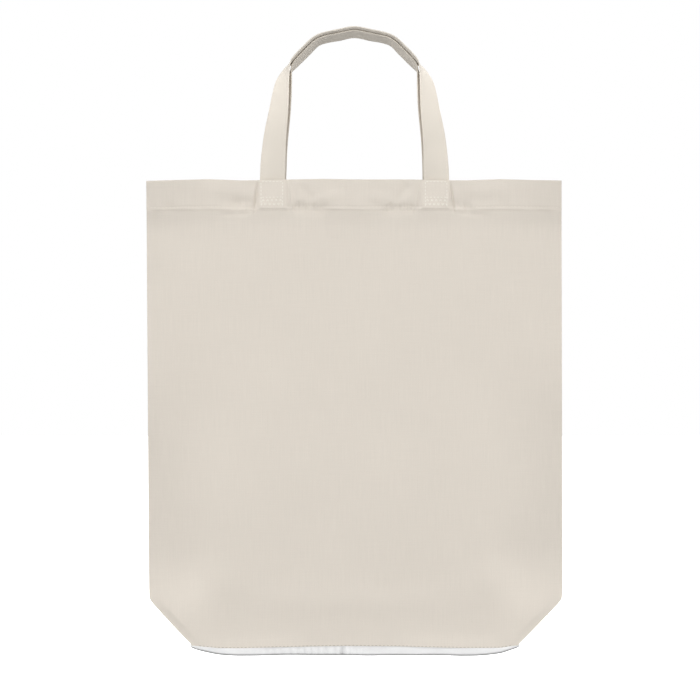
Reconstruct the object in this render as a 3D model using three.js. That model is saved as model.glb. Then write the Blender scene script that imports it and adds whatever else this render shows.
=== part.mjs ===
// A foldable cotton tote bag, hanging by its two handles with its base folded flat behind it.
// Millimetres, +Z up, the front faces -Y. The origin is the point under the handles that a hook carries.
// "Drop" is a distance below the mouth of the bag.
import * as THREE from "three";

// Bag body
const BAG_WIDTH = 380;
const FRONT_LENGTH = 427; // mouth to the seam of the front panel and the base
const BASE_LENGTH = 300;
const BASE_DEPTH = 80;
const BASE_LIP = 7; // the part of the base that hangs below the front seam
const BASE_END_ROUND = 27; // length of the rounded end of that lip
const CORNER_HEIGHT = 44; // height of the slanting corner fold
const MOUTH_HALF_DEPTH = 7; // half of the opening at the mouth
const BELLY_HALF_DEPTH = 12; // half of the fullest depth
const BELLY_PLACE = 0.55; // how far down the fullest depth lies, as a share of the length
const FOOT_HALF_DEPTH = 5; // half of the depth at the bottom
const SIDE_FLATNESS = 4; // higher keeps the belly flat further out towards the side seams
const FOLD_DROP = 215; // the line on which the bag folds in half

// Cloth
const CLOTH = 0.6;
const HEM_DEPTH = 27; // the top edge turned inside
const HEM_END = 9; // from the side seam to the end of the hem
const GAP = 0.3; // between pieces that lie on each other
const BASE_BEND = 2; // radius of the folds of the base

// Handles
const STRAP_WIDTH = 24;
const STRAP = 1.2; // thickness
const HANDLE_SPREAD = 149.6; // between the middles of a handle's two legs
const HANDLE_RISE = 132.7; // mouth to the underside of the arch at the hook
const STRAP_SEWN = 25; // length sewn under the hem
const STRAP_STEPS = 96;

// Derived places
const HALF_WIDTH = BAG_WIDTH / 2;
const HALF_BASE = BASE_LENGTH / 2;
const MOUTH_Z = -HANDLE_RISE;
const BOTTOM_DROP = FRONT_LENGTH + BASE_LIP;
const CORNER_DROP = FRONT_LENGTH - CORNER_HEIGHT;
const BASE_RISE = BASE_DEPTH - BASE_LIP - 2 * FOOT_HALF_DEPTH;
const REAR_SEAM_DROP = BOTTOM_DROP - BASE_RISE;
const PLEAT_DROP = (FRONT_LENGTH + REAR_SEAM_DROP) / 2;
const LAYER = CLOTH + GAP;
const HALF_SPREAD = HANDLE_SPREAD / 2;

const clamp = (value) => Math.min(1, Math.max(0, value));
const mix = (a, b, share) => a + (b - a) * share;
const ease = (share) => clamp(share) ** 2 * (3 - 2 * clamp(share));
const steps = (from, to, count) => Array.from({ length: count + 1 }, (_, i) => mix(from, to, i / count));

// Half of the bag's width at a drop: straight sides, then the slanting corners.
function halfWidthAt(drop) {
  return mix(HALF_WIDTH, HALF_BASE, clamp((drop - CORNER_DROP) / CORNER_HEIGHT));
}

// Half of the bag's depth in the middle of its width.
function halfDepthAt(drop) {
  const place = drop / FRONT_LENGTH;
  if (place < BELLY_PLACE) {
    return mix(MOUTH_HALF_DEPTH, BELLY_HALF_DEPTH, ease(place / BELLY_PLACE));
  }
  return mix(BELLY_HALF_DEPTH, FOOT_HALF_DEPTH, ease((place - BELLY_PLACE) / (1 - BELLY_PLACE)));
}

// Distance from the middle plane to the inner face of a panel.
function reachAt(x, drop) {
  const out = clamp(Math.abs(x) / halfWidthAt(drop));
  return GAP / 2 + halfDepthAt(drop) * (1 - out ** SIDE_FLATNESS);
}

const at = (x, y, drop) => new THREE.Vector3(x, y, MOUTH_Z - drop);

// One closed solid between two grids of points with the same rows and columns.
function solidBetween(front, back) {
  const rows = front.length;
  const columns = front[0].length;
  const points = [...front.flat(), ...back.flat()];
  const index = (side, row, column) => (side * rows + row) * columns + column;
  const faces = [];
  const quad = (a, b, c, d) => faces.push(a, b, c, a, c, d);
  for (let r = 0; r < rows - 1; r++) {
    for (let c = 0; c < columns - 1; c++) {
      quad(index(0, r, c), index(0, r + 1, c), index(0, r + 1, c + 1), index(0, r, c + 1));
      quad(index(1, r, c), index(1, r, c + 1), index(1, r + 1, c + 1), index(1, r + 1, c));
    }
  }
  for (let r = 0; r < rows - 1; r++) {
    const last = columns - 1;
    quad(index(0, r, 0), index(1, r, 0), index(1, r + 1, 0), index(0, r + 1, 0));
    quad(index(0, r, last), index(0, r + 1, last), index(1, r + 1, last), index(1, r, last));
  }
  for (let c = 0; c < columns - 1; c++) {
    const last = rows - 1;
    quad(index(0, 0, c), index(0, 0, c + 1), index(1, 0, c + 1), index(1, 0, c));
    quad(index(0, last, c), index(1, last, c), index(1, last, c + 1), index(0, last, c + 1));
  }
  const geometry = new THREE.BufferGeometry();
  geometry.setAttribute("position", new THREE.Float32BufferAttribute(points.flatMap((p) => p.toArray()), 3));
  geometry.setIndex(signedVolume(points, faces) < 0 ? faces.reverse() : faces);
  geometry.computeVertexNormals();
  return geometry;
}

function signedVolume(points, faces) {
  let volume = 0;
  for (let i = 0; i < faces.length; i += 3) {
    const [a, b, c] = [points[faces[i]], points[faces[i + 1]], points[faces[i + 2]]];
    volume += a.dot(b.clone().cross(c)) / 6;
  }
  return volume;
}

// The same grid moved by a distance along its own surface normals.
function shifted(grid, distance) {
  const last = grid.length - 1;
  const end = grid[0].length - 1;
  return grid.map((row, r) =>
    row.map((point, c) => {
      const down = grid[Math.min(r + 1, last)][c].clone().sub(grid[Math.max(r - 1, 0)][c]);
      const along = row[Math.min(c + 1, end)].clone().sub(row[Math.max(c - 1, 0)]);
      return point.clone().addScaledVector(down.cross(along).normalize(), distance);
    }),
  );
}

// Cloth that turns a fold: the grid is its outer side round the fold.
const foldedCloth = (grid) => solidBetween(grid, shifted(grid, -CLOTH));

// Columns close together near the side seams, where the panel curves most.
const PANEL_COLUMNS = steps(-1, 1, 28).map((share) => Math.sin((share * Math.PI) / 2));

// A plain layer of a panel. side is -1 for the front and 1 for the back.
function panelGrid(side, drops, layer = 0) {
  return drops.map((drop) =>
    PANEL_COLUMNS.map((share) => {
      const x = share * halfWidthAt(drop);
      return at(x, side * (reachAt(x, drop) + layer), drop);
    }),
  );
}

function panelSolid(side, drops) {
  return solidBetween(panelGrid(side, drops), panelGrid(side, drops, CLOTH));
}

const upperDrops = () => steps(0, FOLD_DROP - GAP / 2, 8);
const frontLowerDrops = () => [
  ...steps(FOLD_DROP + GAP / 2, CORNER_DROP, 6),
  ...steps(CORNER_DROP, FRONT_LENGTH, 4).slice(1),
];

// The back panel runs down behind the belly, turns at the pleat and comes up again to the rear seam.
function backPanelLower() {
  const radius = CLOTH + GAP / 2;
  const turnDrop = PLEAT_DROP - radius;
  const rows = [];
  for (const drop of steps(FOLD_DROP + GAP / 2, turnDrop, 7)) {
    rows.push({ drop, layer: 0, width: halfWidthAt(drop) });
  }
  for (const angle of steps(0, Math.PI, 6).slice(1, -1)) {
    const drop = turnDrop + radius * Math.sin(angle);
    rows.push({ drop, layer: radius * (1 - Math.cos(angle)), width: halfWidthAt(turnDrop) });
  }
  for (const drop of steps(turnDrop, REAR_SEAM_DROP, 3)) {
    const share = (turnDrop - drop) / (turnDrop - REAR_SEAM_DROP);
    rows.push({ drop, layer: 2 * radius, width: mix(halfWidthAt(turnDrop), HALF_BASE, share) });
  }
  const grid = rows.map(({ drop, layer, width }) =>
    PANEL_COLUMNS.map((share) => {
      const x = share * width;
      return at(x, reachAt(x, Math.min(drop, turnDrop)) + layer, drop);
    }),
  );
  return foldedCloth(grid);
}

// How far the lip of the base hangs below the front seam, with its two rounded ends.
function lipAt(x) {
  const out = clamp((Math.abs(x) - (HALF_BASE - BASE_END_ROUND)) / BASE_END_ROUND);
  return mix(2 * BASE_BEND + GAP, BASE_LIP, Math.sqrt(1 - out ** 2));
}

// The base starts at the front seam, turns under the bag and runs up the back to the rear seam.
function basePanel() {
  const columns = PANEL_COLUMNS.map((share) => share * (HALF_BASE - GAP));
  const quarter = steps(0, Math.PI / 2, 3);
  const grid = [];
  const frontAt = (x) => -(reachAt(x, FRONT_LENGTH) + CLOTH);
  const backAt = (x, drop) => reachAt(x, Math.min(drop, FRONT_LENGTH)) + 2 * LAYER + CLOTH;
  const bottomAt = (x) => FRONT_LENGTH + lipAt(x);
  grid.push(columns.map((x) => at(x, frontAt(x), FRONT_LENGTH + GAP)));
  for (const angle of quarter) {
    grid.push(
      columns.map((x) => {
        const y = frontAt(x) + BASE_BEND * (1 - Math.cos(angle));
        return at(x, y, bottomAt(x) - BASE_BEND * (1 - Math.sin(angle)));
      }),
    );
  }
  for (const angle of [...quarter].reverse()) {
    grid.push(
      columns.map((x) => {
        const y = backAt(x, FRONT_LENGTH) - BASE_BEND * (1 - Math.cos(angle));
        return at(x, y, bottomAt(x) - BASE_BEND * (1 - Math.sin(angle)));
      }),
    );
  }
  for (const drop of steps(FRONT_LENGTH, REAR_SEAM_DROP, 4)) {
    grid.push(columns.map((x) => at(x, backAt(x, drop), drop)));
  }
  return foldedCloth(grid);
}

// The corner of the front panel, folded round the slanting edge onto the back.
function cornerFlap(side) {
  const rows = steps(0, 1, 5);
  const grid = rows.map((down) =>
    steps(0, 1, 5).map((out) => {
      const drop = mix(CORNER_DROP + GAP, FRONT_LENGTH - 1, down);
      const x = mix(HALF_BASE + GAP, Math.max(halfWidthAt(drop), HALF_BASE + 1), out);
      return at(side * x, reachAt(x, drop) + 2 * LAYER, drop);
    }),
  );
  const moved = grid.map((row) => row.map((p) => p.clone().setY(p.y + CLOTH)));
  return solidBetween(grid, moved);
}

// The top edge of a panel, turned inside and sewn down.
function hem(side) {
  const columns = PANEL_COLUMNS.map((share) => share * (HALF_WIDTH - HEM_END));
  const layer = (depth) =>
    steps(0, HEM_DEPTH, 2).map((drop) => columns.map((x) => at(x, side * (reachAt(x, drop) - GAP - depth), drop)));
  return solidBetween(layer(0), layer(CLOTH));
}

// The end of a strap, sewn to the inside of the hem.
function sewnEnd(side, hand) {
  const middle = hand * HALF_SPREAD;
  const columns = steps(middle - STRAP_WIDTH / 2, middle + STRAP_WIDTH / 2, 4);
  const layer = (depth) =>
    steps(GAP, STRAP_SEWN, 2).map((drop) =>
      columns.map((x) => at(x, side * (reachAt(x, drop) - GAP - LAYER - depth), drop)),
    );
  return solidBetween(layer(0), layer(STRAP));
}

// Half of a handle's two edges, from the leg to the top of the arch.
// Each point is (distance out, depth, height over the mouth), in shares of half the spread, the strap
// width and the rise. The inner edge of the leg comes forward as the upper edge of the arch, and the
// outer edge goes back. The back handle lies under the front one along the arch.
const LEG_IN = HALF_SPREAD - STRAP_WIDTH / 2;
const LEG_OUT = HALF_SPREAD + STRAP_WIDTH / 2;
const LEG_DEPTH = MOUTH_HALF_DEPTH - GAP - LAYER - STRAP / 2;
const FRONT_HANDLE = {
  side: -1,
  inner: [
    [0.841, -0.342, 0.271],
    [0.813, -0.408, 0.497],
    [0.805, -0.471, 0.678],
    [0.799, -0.5, 0.754],
    [0.791, -0.525, 0.806],
    [0.77, -0.542, 0.84],
    [0.627, -0.542, 0.929],
    [0.469, -0.542, 1.004],
    [0.186, -0.542, 1.047],
    [0, -0.542, 1.064],
  ],
  outer: [
    [1.123, 0.083, 0.279],
    [1.049, 0.25, 0.494],
    [0.964, 0.375, 0.696],
    [0.889, 0.45, 0.765],
    [0.829, 0.467, 0.801],
    [0.735, 0.442, 0.82],
    [0.58, 0.433, 0.903],
    [0.444, 0.433, 0.974],
    [0.176, 0.433, 1.01],
    [0, 0.433, 1.026],
  ],
};
const BACK_HANDLE = {
  side: 1,
  inner: [
    [0.822, 0.042, 0.271],
    [0.791, -0.146, 0.497],
    [0.783, -0.271, 0.678],
    [0.779, -0.304, 0.754],
    [0.767, -0.308, 0.8],
    [0.743, -0.312, 0.826],
    [0.599, -0.312, 0.913],
    [0.451, -0.312, 0.984],
    [0.175, -0.312, 1.025],
    [0, -0.312, 1.041],
  ],
  outer: [
    [1.11, 0.396, 0.279],
    [1.023, 0.521, 0.49],
    [0.909, 0.604, 0.674],
    [0.822, 0.658, 0.742],
    [0.769, 0.667, 0.771],
    [0.709, 0.667, 0.801],
    [0.553, 0.667, 0.886],
    [0.43, 0.667, 0.953],
    [0.174, 0.667, 0.986],
    [0, 0.667, 1.005],
  ],
};

// The whole edge of a handle as one smooth curve: from its foot at the mouth over the arch to the other foot.
function edgeCurve(foot, side, points) {
  const half = [[foot, side * LEG_DEPTH, GAP]];
  for (const [out, depth, height] of points) {
    half.push([out * HALF_SPREAD, depth * STRAP_WIDTH, height * HANDLE_RISE]);
  }
  const left = half.map(([out, y, height]) => new THREE.Vector3(-out, y, MOUTH_Z + height));
  const right = half.slice(0, -1).map(([out, y, height]) => new THREE.Vector3(out, y, MOUTH_Z + height));
  return new THREE.CatmullRomCurve3([...left, ...right.reverse()], false, "centripetal");
}

// A strap between its two edges, with an even width and thickness.
function handle({ side, inner, outer }) {
  const innerEdge = edgeCurve(LEG_IN, side, inner);
  const outerEdge = edgeCurve(LEG_OUT, side, outer);
  const grid = steps(0, 1, STRAP_STEPS).map((share) => {
    const [a, b] = [innerEdge.getPoint(share), outerEdge.getPoint(share)];
    const middle = a.clone().add(b).multiplyScalar(0.5);
    const half = b.sub(a).setLength(STRAP_WIDTH / 2);
    return [middle.clone().sub(half), middle.clone(), middle.clone().add(half)];
  });
  return solidBetween(shifted(grid, -STRAP / 2), shifted(grid, STRAP / 2));
}

const cotton = new THREE.MeshStandardMaterial({ color: 0xddd5ca, roughness: 0.95, metalness: 0 });
const webbing = new THREE.MeshStandardMaterial({ color: 0xe4dcd0, roughness: 0.95, metalness: 0 });
const whiteCloth = new THREE.MeshStandardMaterial({ color: 0xf2f2f2, roughness: 0.9, metalness: 0 });

function named(name, geometry, material) {
  const mesh = new THREE.Mesh(geometry, material);
  mesh.name = name;
  return mesh;
}

// The half above the fold line, which the handles carry.
function upperHalf() {
  const group = new THREE.Group();
  group.add(named("front_panel_upper", panelSolid(-1, upperDrops()), cotton));
  group.add(named("back_panel_upper", panelSolid(1, upperDrops()), cotton));
  group.add(named("front_hem", hem(-1), cotton));
  group.add(named("back_hem", hem(1), cotton));
  for (const [word, side] of [["front", -1], ["back", 1]]) {
    for (const [hand, sign] of [["left", -1], ["right", 1]]) {
      group.add(named(`${word}_${hand}_strap_end`, sewnEnd(side, sign), webbing));
    }
  }
  return group;
}

// The half below the fold line, with the base turned up behind it.
function lowerHalf() {
  const group = new THREE.Group();
  group.add(named("front_panel_lower", panelSolid(-1, frontLowerDrops()), cotton));
  group.add(named("back_panel_lower", backPanelLower(), cotton));
  group.add(named("base_panel", basePanel(), whiteCloth));
  group.add(named("left_corner_flap", cornerFlap(-1), cotton));
  group.add(named("right_corner_flap", cornerFlap(1), cotton));
  return group;
}

function toteBag() {
  const bag = new THREE.Group();
  bag.add(upperHalf());
  bag.add(lowerHalf());
  bag.add(named("front_handle", handle(FRONT_HANDLE), webbing));
  bag.add(named("back_handle", handle(BACK_HANDLE), webbing));
  return bag;
}

export default toteBag();
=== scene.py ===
"""A foldable cotton tote bag, hanging by its two handles with its boxed base folded flat behind it.

Lengths are in millimetres until MM turns them into metres. The front faces -Y. "Drop" is a distance below
the mouth of the bag. "Side" is -1 for the front and 1 for the back. "Hand" is -1 for the left and 1 for the
right.
"""

import math

import bpy
import numpy as np
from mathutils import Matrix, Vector


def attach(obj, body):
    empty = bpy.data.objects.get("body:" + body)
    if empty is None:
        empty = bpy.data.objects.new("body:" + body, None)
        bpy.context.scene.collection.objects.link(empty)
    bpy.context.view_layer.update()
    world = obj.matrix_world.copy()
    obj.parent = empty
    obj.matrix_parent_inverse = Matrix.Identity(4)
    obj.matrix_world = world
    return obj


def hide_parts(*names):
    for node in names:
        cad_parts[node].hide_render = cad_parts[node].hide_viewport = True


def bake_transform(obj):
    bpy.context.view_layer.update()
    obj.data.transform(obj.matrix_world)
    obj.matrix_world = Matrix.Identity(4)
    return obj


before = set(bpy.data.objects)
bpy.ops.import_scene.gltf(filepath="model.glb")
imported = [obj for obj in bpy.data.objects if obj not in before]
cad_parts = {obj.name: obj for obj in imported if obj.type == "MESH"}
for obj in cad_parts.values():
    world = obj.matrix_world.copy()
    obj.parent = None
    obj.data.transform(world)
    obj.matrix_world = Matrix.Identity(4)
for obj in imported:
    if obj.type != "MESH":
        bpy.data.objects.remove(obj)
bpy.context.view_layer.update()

MM = 0.001  # a millimetre in metres

# Sizes of the bag, as in the CAD
BAG_WIDTH = 380
FRONT_LENGTH = 427
BASE_LENGTH = 300
BASE_DEPTH = 80
BASE_LIP = 7  # how far the base shows below the front seam
CORNER_HEIGHT = 44
MOUTH_HALF_DEPTH = 7
BELLY_HALF_DEPTH = 12
BELLY_PLACE = 0.55  # where the bag is deepest, as a share of the front's length
FOOT_HALF_DEPTH = 5
SIDE_FLATNESS = 4  # the higher it is, the flatter the bag and the rounder its sides
CLOTH = 0.6
HEM_DEPTH = 27
GAP = 0.3
LAYER = CLOTH + GAP
BASE_BEND = 2
STRAP_WIDTH = 24
STRAP = 1.2
HANDLE_SPREAD = 149.6
HANDLE_RISE = 132.7
STRAP_SEWN = 25

HALF_WIDTH = BAG_WIDTH / 2
HALF_BASE = BASE_LENGTH / 2
MOUTH_Z = -HANDLE_RISE
CORNER_DROP = FRONT_LENGTH - CORNER_HEIGHT
BASE_RISE = BASE_DEPTH - BASE_LIP - 2 * FOOT_HALF_DEPTH
REAR_SEAM_DROP = FRONT_LENGTH + BASE_LIP - BASE_RISE
PLEAT_DROP = (FRONT_LENGTH + REAR_SEAM_DROP) / 2
LEG_MIDDLE = HANDLE_SPREAD / 2
LEG_IN = LEG_MIDDLE - STRAP_WIDTH / 2
LEG_OUT = LEG_MIDDLE + STRAP_WIDTH / 2
LEG_DEPTH = MOUTH_HALF_DEPTH - GAP - LAYER - STRAP / 2

# Finer sizes, which only this script has
FOLD_RADIUS = 0.7  # outer radius of the fold at the mouth
SIDE_GAP = 0.03  # half of the gap between the two cloths at the side seams
SIDE_ROLL = 0.7  # how far the cloth stands out beside the side seam
SIDE_FADE = 12  # over which distance from the side seam the cloth comes to stand out
SIDE_FLARE = 0.8  # how much wider each side stands at the mouth than at the corners
CORNER_DELAY = 1.5  # how far below the CAD's corner the slanting fold starts
CORNER_SOFTNESS = 0.05  # rounding of the corner, as a share of its height
CORNER_FOLD = 0.35  # how far the slanting corner folds stand out past the end of the front cloth
CORNER_INSET = CORNER_FOLD * 1.35  # how far inside the slanting folds the front cloth ends
CORNER_INSET_GROWTH = 8  # over which drop it comes to lie there
CORNER_TOP = CORNER_DROP + 1.5  # drop of a corner flap's upper edge
MOUTH_WAVE_DEPTH = 60  # down to which drop the mouth's wave goes
FOOT_WAVE_DROP = 375  # where the wave of the foot starts
FOOT_WAVE_GROWTH = 50  # over which drop it grows

HEM_LINE = 24.4  # drop of the hem's stitches
HEM_PULL = 0.26  # how far they pull the cloth in
HEM_PULL_WIDTH = 0.9
HEM_PUCKER_WIDTH = 5  # how far above and below them the cloth puckers
HEM_STEP = 2.1  # height of the step at the lower edge of the hem
HEM_STEP_END = HEM_DEPTH + 1.4  # drop where that step ends
STRAP_LIFT = 0.8  # how far a panel stands out over the sewn strap ends
STRAP_LIFT_SIDE = 1.3  # width of the soft edge beside them
STRAP_LIFT_FOOT = 1.6  # height of the soft edge below them

LIP_END = 1.2  # how far the base shows at its ends
LIP_BULGE = 1.5  # how much further it shows in its middle
LIP_BULGE_X = 8
LIP_BULGE_HALF = 78
LIP_BULGE_FADE = 40
BASE_END_ROUND = 40  # length of the lip's rounded ends
BASE_TUCK = 4  # how far the base goes up behind the front seam
BASE_UNDER = 6  # cloth between the front and the back of the base's bend, for its weave
BASE_SEAT = 0.75  # how far the base stands off the layers under it
BASE_END = 2.4  # length of the base's ends, which lie lower
BASE_END_FADE = 3
END_ABOVE_FLAP = 1.6  # how much lower they lie above the corner flaps
END_ON_FLAP = 0.95  # how much lower they lie on the corner flaps
BASE_FLAT = 125  # how far from the middle the base starts to lose its soft waves
BASE_FLAT_FADE = 20

STRAP_STAGGER = 0.5  # the front strap stands this far out at the mouth, and the back one this far in
STRAP_NARROWING = 0.45  # how much narrower each edge of a strap is near its sewn ends
NARROW_END = 90  # distance from a sewn end where that stops
NARROW_FADE = 50
STRAP_CLEARANCE = 0.1  # between a sewn strap end and the inside of the hem

# Rows and columns of the panels, as (start, step): close together at the hem, by the straps and at the sides
ROW_STEP = 2.4
ROW_STOPS = ((FOLD_RADIUS, 1.2), (22, 0.5), (31, 1.2), (36, ROW_STEP))
COLUMN_STOPS = ((0, 2.4), (25, 0.75), (62, 2.0), (84, 0.6), (108, 2.4), (176, 1.2), (HALF_WIDTH, 0))

# Soft waves of the bag's edges, as places and the offsets there
MOUTH_RISE = (
    (-190, -160, -133, -104, -90, -60, -28, 0, 50, 62, 90, 104, 134, 165, 190),
    (0.4, 1.1, 1.7, 0.5, 0.7, 1.3, 1.9, 1.4, 1.4, 1.2, 0.6, 0.6, 1.7, 1.0, 0.8),
)
FOOT_SINK = (
    (-180, -160, -152, -148, -126, -107, -68, -9, 42, 97, 134, 144, 152, 165, 180),
    (0.5, 0.1, -0.3, -0.1, 1.7, 1.7, 0.6, -0.4, 0, 1.4, 1.5, 0, -0.5, -0.2, 0),
)
SIDE_LEAN = ((0, CORNER_DROP, FRONT_LENGTH), (-0.5, 1.2, 0.5))

RANDOM = np.random.default_rng(11)


def smooth(t):
    """A soft step from 0 at 0 to 1 at 1."""
    t = np.clip(t, 0, 1)
    return t * t * (3 - 2 * t)


def mix(a, b, share):
    """A value between a and b."""
    return a + (b - a) * share


def bell(distance, width):
    """1 at no distance, fading to both sides."""
    return np.exp(-((distance / width) ** 2))


def unit(vectors):
    """The vectors, each with length 1."""
    return vectors / np.maximum(np.linalg.norm(vectors, axis=-1, keepdims=True), 1e-9)


def run_along(line):
    """The distance along a line at each of its points."""
    steps = np.linalg.norm(np.diff(line, axis=0), axis=-1)
    return np.concatenate([[0], np.cumsum(steps)])


# Shape of the body


def half_width(drop):
    """Straight sides, a slightly rounded corner, then the slanting fold."""
    down = (drop - CORNER_DROP - CORNER_DELAY) / (CORNER_HEIGHT - CORNER_DELAY)
    ramp = 0.5 * (down + np.sqrt(down**2 + CORNER_SOFTNESS**2))
    straight = HALF_WIDTH + SIDE_FLARE * (1 - np.clip(drop / CORNER_DROP, 0, 1))
    return mix(straight, HALF_BASE, np.clip(ramp, 0, 1))


def half_depth(drop):
    """Shallow at the mouth, deepest at the belly and shallow again at the foot."""
    down = np.clip(drop, 0, FRONT_LENGTH) / FRONT_LENGTH
    upper = mix(MOUTH_HALF_DEPTH, BELLY_HALF_DEPTH, smooth(down / BELLY_PLACE))
    lower = mix(BELLY_HALF_DEPTH, FOOT_HALF_DEPTH, smooth((down - BELLY_PLACE) / (1 - BELLY_PLACE)))
    return np.where(down < BELLY_PLACE, upper, lower)


def reach(x, drop):
    """The distance from the middle plane to the inner face of a panel."""
    out = np.clip(np.abs(x) / half_width(drop), 0, 1)
    return SIDE_GAP + half_depth(drop) * (1 - out**SIDE_FLATNESS)


class Waves:
    """Gentle unevenness of hanging cloth: a fixed sum of waves, longer up and down than across."""

    def __init__(self, count, shortest, longest, height, down_share):
        self.length = RANDOM.uniform(shortest, longest, count)
        self.angle = RANDOM.uniform(0, math.pi, count)
        self.phase = RANDOM.uniform(0, 2 * math.pi, count)
        self.height = height
        self.down_share = down_share

    def at(self, x, drop):
        """How far the cloth stands out there."""
        down = drop * self.down_share
        total = 0
        for length, angle, phase in zip(self.length, self.angle, self.phase):
            along = x * math.cos(angle) + down * math.sin(angle)
            total = total + np.sin(2 * math.pi * along / length + phase)
        return self.height * (total / math.sqrt(len(self.length)))


FRONT_WAVES = Waves(9, 70, 190, height=0.42, down_share=0.6)
BACK_WAVES = Waves(9, 70, 190, height=0.42, down_share=0.6)
FINE_WAVES = Waves(10, 22, 60, height=0.07, down_share=0.5)
HEM_WAVES = Waves(6, 9, 26, height=0.36, down_share=0.2)


def on_both_hands(creases):
    """The creases on the left and again on the right."""
    out = []
    for hand in (-1, 1):
        for (x0, d0), (x1, d1), width, height in creases:
            out.append(((hand * x0, d0), (hand * x1, d1), width, height))
    return out


# Creases, as (start, end, width, height) with each end as (x, drop). A negative height makes a dent.
FRONT_CREASES = (
    *on_both_hands(
        (
            ((60.5, -4), (55.5, 34), 1.4, 1.0),
            ((87.9, 0), (92.4, 33), 1.15, -1.7),
            ((92, 4), (101, 30), 5, 0.5),
            ((64, 25.5), (20, 27.5), 5, -2.2),
            ((92, 30), (126, 32), 2.2, -0.8),
            ((8, 12), (42, 22), 5, 0.8),
            ((52, 3), (36, 22), 4.5, -1.1),
            ((90, 17), (132, 21), 5, -0.7),
            ((96, 8), (150, 10), 6, 0.7),
            ((172, 418), (108, 346), 20, 2.2),
            ((184, 230), (180, 370), 7, -0.8),
        )
    ),
    ((-85, 22), (-116, 21), 5, -2.2),
    ((86, 20), (112, 27), 4.5, -1.8),
    ((-2, 30), (6, 116), 14, -0.9),
    ((-13, 40), (-12, 425), 3, -0.22),
    ((-120, 386), (120, 386), 12, 0.8),
    ((-144, 429), (-34, 429), 10, 2.0),
    ((32, 429), (144, 429), 10, 2.5),
    ((-20, 2), (-14, 62), 9, 1.0),
    ((50, 3), (46, 52), 7, 0.8),
)
BACK_CREASES = (
    *on_both_hands(
        (
            ((60.5, -4), (55.5, 34), 1.4, 0.8),
            ((87.9, 0), (92.4, 32), 1.15, -1.4),
            ((120, 30), (108, 96), 12, 0.8),
        )
    ),
    ((10, 40), (14, 300), 5, -0.3),
    ((-70, 120), (40, 260), 20, 0.7),
)

# Short gathers across the hem stitch beside each strap, as (place, depth)
GATHERS = (
    *((-104, 0.3), (-98, 0.4), (-54, 0.5), (-50.5, 0.6), (-47, 0.4), (-44, 0.6), (-41, 0.4), (-37, 0.3)),
    *((29, 0.3), (33, 0.5), (36.5, 0.3), (41, 0.6), (45, 0.5), (47.5, 0.6), (52, 0.4), (99, 0.4)),
)
GATHER_WIDTH = 0.85
GATHER_TOP = 18.5
GATHER_FOOT = 31

# The long waves, the shift of the fine waves and the creases of each side
SIDE_RELIEF = {
    -1: (FRONT_WAVES, 0, FRONT_CREASES),
    1: (BACK_WAVES, 40, BACK_CREASES),
}


def crease(x, drop, start, end, width, height):
    """A raised crease between two points, tapered at both ends."""
    (x0, d0), (x1, d1) = start, end
    length = math.hypot(x1 - x0, d1 - d0)
    along = ((x - x0) * (x1 - x0) + (drop - d0) * (d1 - d0)) / length**2
    across = np.abs((x - x0) * (d1 - d0) - (drop - d0) * (x1 - x0)) / length
    tapered_share = 0.3
    taper = smooth(along / tapered_share) * smooth((1 - along) / tapered_share)
    return height * taper * bell(across, width)


def strap_lift(x, drop):
    """How far a panel stands out over the sewn strap ends, with a soft edge beside and below them."""
    beside = np.abs(np.abs(x) - LEG_MIDDLE) - STRAP_WIDTH / 2
    below = drop - STRAP_SEWN
    return STRAP_LIFT * smooth(1 - beside / STRAP_LIFT_SIDE) * smooth(1 - below / STRAP_LIFT_FOOT)


def hem_relief(x, drop):
    """The doubled top edge: its stitch line pulled in, and puckers and gathers across it."""
    double = CLOTH * smooth((HEM_STEP_END - drop) / HEM_STEP)
    groove = -HEM_PULL * bell(drop - HEM_LINE, HEM_PULL_WIDTH)
    puckers = HEM_WAVES.at(x, drop) * bell(drop - HEM_LINE, HEM_PUCKER_WIDTH)
    gathers = 0
    for k, (at, depth) in enumerate(GATHERS):
        # They start and end at uneven drops and spread a little downwards.
        start = (at, GATHER_TOP + 1.7 * (k % 3))
        end = (at * 1.03, GATHER_FOOT - 0.9 * (k % 4))
        gathers = gathers + crease(x, drop, start, end, GATHER_WIDTH, -depth)
    return double + groove + puckers + gathers


def relief(side, x, drop):
    """How far a panel stands out from the smooth body: nothing at the side seams, where the cloths meet."""
    long_waves, shift, creases = SIDE_RELIEF[side]
    total = hem_relief(x, drop) + strap_lift(x, drop)
    total = total + long_waves.at(x, drop) + FINE_WAVES.at(x + shift, drop)
    for start, end, width, height in creases:
        total = total + crease(x, drop, start, end, width, height)
    return (total + SIDE_ROLL) * smooth((half_width(drop) - np.abs(x)) / SIDE_FADE)


def outer_face(side, x, drop):
    """The depth, as y, of the outer face of a panel."""
    return side * (reach(x, drop) + CLOTH + relief(side, x, drop))


def place(x, y, drop):
    """Points in space, with the waves of the mouth and the foot and the lean of the sides."""
    x, y, drop = np.broadcast_arrays(x, y, drop)
    mouth = np.interp(x, *MOUTH_RISE) * np.clip(1 - drop / MOUTH_WAVE_DEPTH, 0, 1)
    foot = np.interp(x, *FOOT_SINK) * smooth((drop - FOOT_WAVE_DROP) / FOOT_WAVE_GROWTH)
    lean = np.interp(drop, *SIDE_LEAN)
    return np.stack([x + lean, y, MOUTH_Z - drop + (mouth - foot)], -1)


# Meshes


def grid_faces(rows, columns, offset=0, wrap=False):
    """The quads of a grid of points, which may close round its columns."""
    r, c = np.meshgrid(np.arange(rows - 1), np.arange(columns if wrap else columns - 1), indexing="ij")
    a = r * columns + c
    b = r * columns + (c + 1) % columns
    quads = np.stack([a, a + columns, b + columns, b], -1).reshape(-1, 4)
    return quads + offset


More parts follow.
